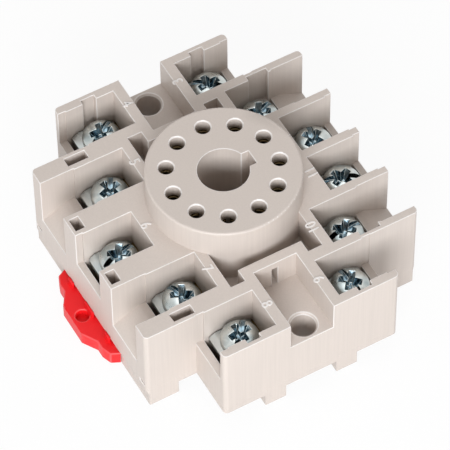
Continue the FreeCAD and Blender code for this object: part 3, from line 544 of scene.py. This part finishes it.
def makeMarkDot():
    angle = math.radians(markDot["angle"])
    length = 2 * screwHead["height"]
    center = (markDot["place"] * math.sin(angle), markDot["place"] * math.cos(angle),
              length - markDot["depth"] - markDot["domeFall"])
    bm = bmesh.new()
    addPin(bm, markDot["radius"], length, center, markDot["facets"])
    return meshFromBmesh("markDot", bm)


def cutWith(piece, cutter):
    cut = piece.modifiers.new("cut", "BOOLEAN")
    cut.operation = "DIFFERENCE"
    cut.solver = "EXACT"
    cut.object = cutter
    applyModifiers(piece)
    bpy.data.objects.remove(cutter)


def paintRecess(head, outside):
    # Faces inside the former dome belong to the recess, and get its darker colour, a painted shade and
    # painted dark reflection
    bm = bmesh.new()
    bm.from_mesh(head.data)
    dissolveFlat(bm)
    for face in bm.faces:
        distance = outside.find_nearest(face.calc_center_median())[3]
        face.material_index = 1 if distance > recess["skin"] else 0
    bm.to_mesh(head.data)
    bm.free()
    addMaterials(head, zincScrew, zincRecessShade)


def makeHead():
    bm = bmesh.new()
    lathe(bm, headProfile(), screwHead["facets"])
    head = meshFromBmesh("screwHead", bm)
    outside = BVHTree.FromObject(head, bpy.context.evaluated_depsgraph_get())
    for quarter in range(4):
        cutWith(head, makeRecessArm(math.radians(90 * quarter + 45)))
    cutWith(head, makeDriverSlot())
    cutWith(head, makeMarkDot())
    paintRecess(head, outside)
    rounding = head.modifiers.new("edgeRadius", "BEVEL")
    rounding.width = screwHead["edge"]
    rounding.segments = 2
    rounding.angle_limit = math.radians(screwHead["edgeAngle"])
    rounding.use_clamp_overlap = False
    rounding.material = 0
    applyModifiers(head)
    return head


def threadRadius(height, share):
    # From root to crest and back within one pitch, shifted by the share of a full turn
    wave = abs(((height / thread["pitch"] - share) % 1.0) * 2 - 1)
    return thread["root"] + (thread["crest"] - thread["root"]) * wave


def addThread(bm):
    # A threaded shank, ring by ring from the head down to its tip
    count = thread["facets"]
    rows = int((thread["reach"] - thread["point"]) / thread["pitch"] * thread["rowsPerPitch"])
    above = addRing(bm, [thread["root"]] * count, 2 * screwHead["seatGap"])
    for row in range(1, rows + 1):
        height = -row * thread["pitch"] / thread["rowsPerPitch"]
        ring = addRing(bm, [threadRadius(height, i / count) for i in range(count)], height)
        joinRings(bm, ring, above)
        above = ring
    share = thread["tipShare"]
    tip = [bm.verts.new((corner.co.x * share, corner.co.y * share, -thread["reach"])) for corner in above]
    joinRings(bm, tip, above)
    bm.faces.new(list(reversed(tip)))


def makeScrews():
    head = makeHead()
    bm = bmesh.new()
    bm.from_mesh(head.data)
    addThread(bm)
    pattern = meshFromBmesh("screwPattern", bm)
    addMaterials(pattern, zincScrew, zincRecessShade)
    bpy.data.objects.remove(head)
    for terminal, turn in screwTurn.items():
        low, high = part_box(f"terminal_screw_{terminal}")
        seat = Vector(((low.x + high.x) / 2, (low.y + high.y) / 2, low.z + thread["reach"]))
        piece = addObject(f"terminalScrew{terminal}", pattern.data.copy())
        piece.data.transform(Matrix.Translation(seat) @ Matrix.Rotation(math.radians(turn), 4, "Z"))
        smoothByAngle(piece, screwHead["smoothAngle"])
        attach(piece, f"screw_{terminal}")
        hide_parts(f"terminal_screw_{terminal}")
    bpy.data.objects.remove(pattern)


makeScrews()
print("screws made")


# The clip's driver hole has a floor, and three low ribs on the clip stand against the base plate

clipHole = {
    "radius": 1.3 * mm, "across": -27.4 * mm, "floorDepth": 1.5 * mm, "thickness": 0.6 * mm, "facets": 48,
}
clipRibs = {
    "lengths": {6.4 * mm: 1.6 * mm, 0.0: 2.8 * mm, -6.4 * mm: 1.6 * mm},  # by their place along the clip
    "height": 1.5 * mm, "depth": 0.4 * mm, "gap": 0.03 * mm, "sunk": 0.2 * mm, "round": 0.1 * mm,
}


def makeClipFloor():
    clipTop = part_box("rail_clip")[1].z
    center = (clipHole["across"], 0, clipTop - clipHole["floorDepth"] - clipHole["thickness"] / 2)
    bm = bmesh.new()
    addPin(bm, clipHole["radius"], clipHole["thickness"], center, clipHole["facets"])
    floor = meshFromBmesh("clipHoleFloor", bm)
    addMaterials(floor, clipPlastic)
    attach(floor, "clip")


def makeClipRibs():
    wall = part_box("base_plate")[0].x
    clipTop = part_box("rail_clip")[1].z
    tall = clipRibs["height"] + clipRibs["sunk"]
    across = wall - clipRibs["gap"] - clipRibs["depth"] / 2
    level = clipTop - clipRibs["sunk"] + tall / 2
    bm = bmesh.new()
    for place, length in clipRibs["lengths"].items():
        addBox(bm, (clipRibs["depth"], length, tall), (across, place, level))
    bmesh.ops.bevel(bm, geom=bm.edges[:], offset=clipRibs["round"], segments=2, affect="EDGES", profile=0.5)
    ribs = meshFromBmesh("clipRibs", bm)
    addMaterials(ribs, clipPlastic)
    smoothByAngle(ribs, softEdges["smoothAngle"])
    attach(ribs, "clip")


makeClipFloor()
makeClipRibs()
print("clip details made")


# Terminal numbers on the tops of the walls, with their places in millimetres

numbers = {
    "height": 1.95 * mm, "sizePerHeight": 1.38, "narrowing": 0.86, "relief": 0.12 * mm,
    "heavier": 0.025 * mm, "wallTop": -5.8 * mm, "curveSteps": 4,
    "places": {
        1: (14.6, 4.6), 2: (9.05, 13.8), 3: (4.65, 24.0), 4: (-5.3, 24.0), 5: (-10.06, 12.6),
        6: (-14.75, 0.2), 7: (-10.2, -12.5), 8: (-5.3, -23.5), 9: (4.7, -23.4), 10: (9.05, -13.8),
        11: (14.6, -4.0),
    },
}


def makeNumberText(terminal):
    text = bpy.data.curves.new(f"number{terminal}", "FONT")
    text.body = str(terminal)
    text.size = numbers["height"] * numbers["sizePerHeight"]
    text.align_x = "CENTER"
    text.align_y = "CENTER"
    text.extrude = numbers["relief"] / 2
    text.offset = numbers["heavier"]
    text.resolution_u = numbers["curveSteps"]
    return addObject(f"raisedNumber{terminal}", text)


def makeNumbers():
    level = numbers["wallTop"] + numbers["relief"] / 2
    for terminal, (x, y) in numbers["places"].items():
        raised = makeNumberText(terminal)
        raised.matrix_world = (Matrix.Translation((x * mm, y * mm, level))
                               @ Matrix.Rotation(math.radians(90 * terminalSide[terminal]), 4, "Z")
                               @ Matrix.Diagonal((numbers["narrowing"], 1, 1, 1)))
        bpy.context.view_layer.update()
        graph = bpy.context.evaluated_depsgraph_get()
        mesh = bpy.data.meshes.new_from_object(raised.evaluated_get(graph))
        mesh.transform(raised.matrix_world)
        bpy.data.objects.remove(raised)
        piece = addObject(f"terminalNumber{terminal}", mesh)
        mesh.materials.clear()
        # The numbers are paler than the housing, a painted highlight for the light their raised faces catch
        addMaterials(piece, numberHighlightPlastic)
        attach(piece, "socket")


makeNumbers()
print("numbers made")


# Floor, light and camera

view = {
    "target": (-0.8783 * mm, -1.8421 * mm, -12.7 * mm), "distance": 646.12 * mm, "azimuth": -28.831,
    "elevation": 53.969, "roll": 0.822, "lens": 308.94, "sensor": 36, "nearest": 10 * mm,
    "farthest": 10000 * mm,
}
studio = {
    "floorGap": 0.02 * mm, "floorSize": 1200 * mm, "floorColor": (0.9, 0.9, 0.9, 1), "floorRoughness": 0.9,
    "worldLevel": 0.42, "worldColor": (1.0, 0.965, 0.93, 1), "white": (1, 1, 1, 1), "whiteShare": 0.92,
}
lamps = {
    "color": (0.965, 1.0, 1.035), "aim": (0, 0, -12 * mm),
    "boxes": {
        "frontBox": {"place": (-330 * mm, -520 * mm, 290 * mm), "size": (400 * mm, 300 * mm), "power": 4.5},
        "topBox": {"place": (50 * mm, 100 * mm, 600 * mm), "size": (400 * mm, 400 * mm), "power": 0.6},
    },
}


def makeCamera():
    azimuth = math.radians(view["azimuth"])
    elevation = math.radians(view["elevation"])
    level = math.cos(elevation)
    back = Vector((math.sin(azimuth) * level, -math.cos(azimuth) * level, math.sin(elevation))).normalized()
    right = Vector((0, 0, 1)).cross(back).normalized()
    up = back.cross(right)
    roll = Matrix.Rotation(math.radians(-view["roll"]), 3, back)
    turn = Matrix((roll @ right, roll @ up, back)).transposed().to_4x4()
    place = Vector(view["target"]) + back * view["distance"]
    data = bpy.data.cameras.new("photoCamera")
    data.lens = view["lens"]
    data.sensor_width = view["sensor"]
    data.clip_start = view["nearest"]
    data.clip_end = view["farthest"]
    camera = addObject("photoCamera", data)
    camera.matrix_world = Matrix.Translation(place) @ turn
    bpy.context.scene.camera = camera


def makeLamps():
    for name, box in lamps["boxes"].items():
        data = bpy.data.lights.new(name, "AREA")
        data.shape = "RECTANGLE"
        data.size, data.size_y = box["size"]
        data.energy = box["power"]
        data.color = lamps["color"]
        lamp = addObject(name, data)
        lamp.location = box["place"]
        lamp.rotation_euler = (Vector(lamps["aim"]) - lamp.location).to_track_quat("-Z", "Y").to_euler()


def seenAsBackground(tree):
    # 1 where the camera, a mirror or a glass looks, and 0 where the surface only lights others
    path = addNode(tree, "ShaderNodeLightPath", (-800, 300))
    seen = path.outputs["Is Camera Ray"]
    for ray in ("Is Glossy Ray", "Is Transmission Ray"):
        seen = addMath(tree, (-550, 300), "MAXIMUM", seen, path.outputs[ray])
    return seen


def blendShaders(tree, share, plain, white, output):
    blend = addNode(tree, "ShaderNodeMixShader", (300, 0))
    tree.links.new(share, blend.inputs["Fac"])
    tree.links.new(plain, blend.inputs[1])
    tree.links.new(white, blend.inputs[2])
    tree.links.new(blend.outputs["Shader"], tree.nodes[output].inputs["Surface"])


def makeFloor():
    bm = bmesh.new()
    bmesh.ops.create_grid(bm, x_segments=1, y_segments=1, size=studio["floorSize"])
    floor = meshFromBmesh("floor", bm)
    floor.location.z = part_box("base_plate")[0].z - studio["floorGap"]
    material = bpy.data.materials.new("floorPaper")
    material.use_nodes = True
    tree = material.node_tree
    paper = tree.nodes["Principled BSDF"]
    setInputs(paper, Base_Color=studio["floorColor"], Roughness=studio["floorRoughness"])
    glow = addNode(tree, "ShaderNodeEmission", (0, -250))
    setInputs(glow, Color=studio["white"], Strength=1.0)
    share = addMath(tree, (0, 300), "MULTIPLY", seenAsBackground(tree), studio["whiteShare"])
    blendShaders(tree, share, paper.outputs["BSDF"], glow.outputs["Emission"], "Material Output")
    addMaterials(floor, material)


def makeWorld():
    world = bpy.data.worlds.new("studioWorld")
    bpy.context.scene.world = world
    world.use_nodes = True
    tree = world.node_tree
    shade = tree.nodes["Background"]
    setInputs(shade, Color=studio["worldColor"], Strength=studio["worldLevel"])
    white = addNode(tree, "ShaderNodeBackground", (0, -200))
    setInputs(white, Color=studio["white"], Strength=1.0)
    blendShaders(tree, seenAsBackground(tree), shade.outputs["Background"], white.outputs["Background"],
                 "World Output")


makeCamera()
makeFloor()
makeWorld()
makeLamps()
bpy.context.scene.view_settings.view_transform = "Standard"
print("stage, light and camera made")
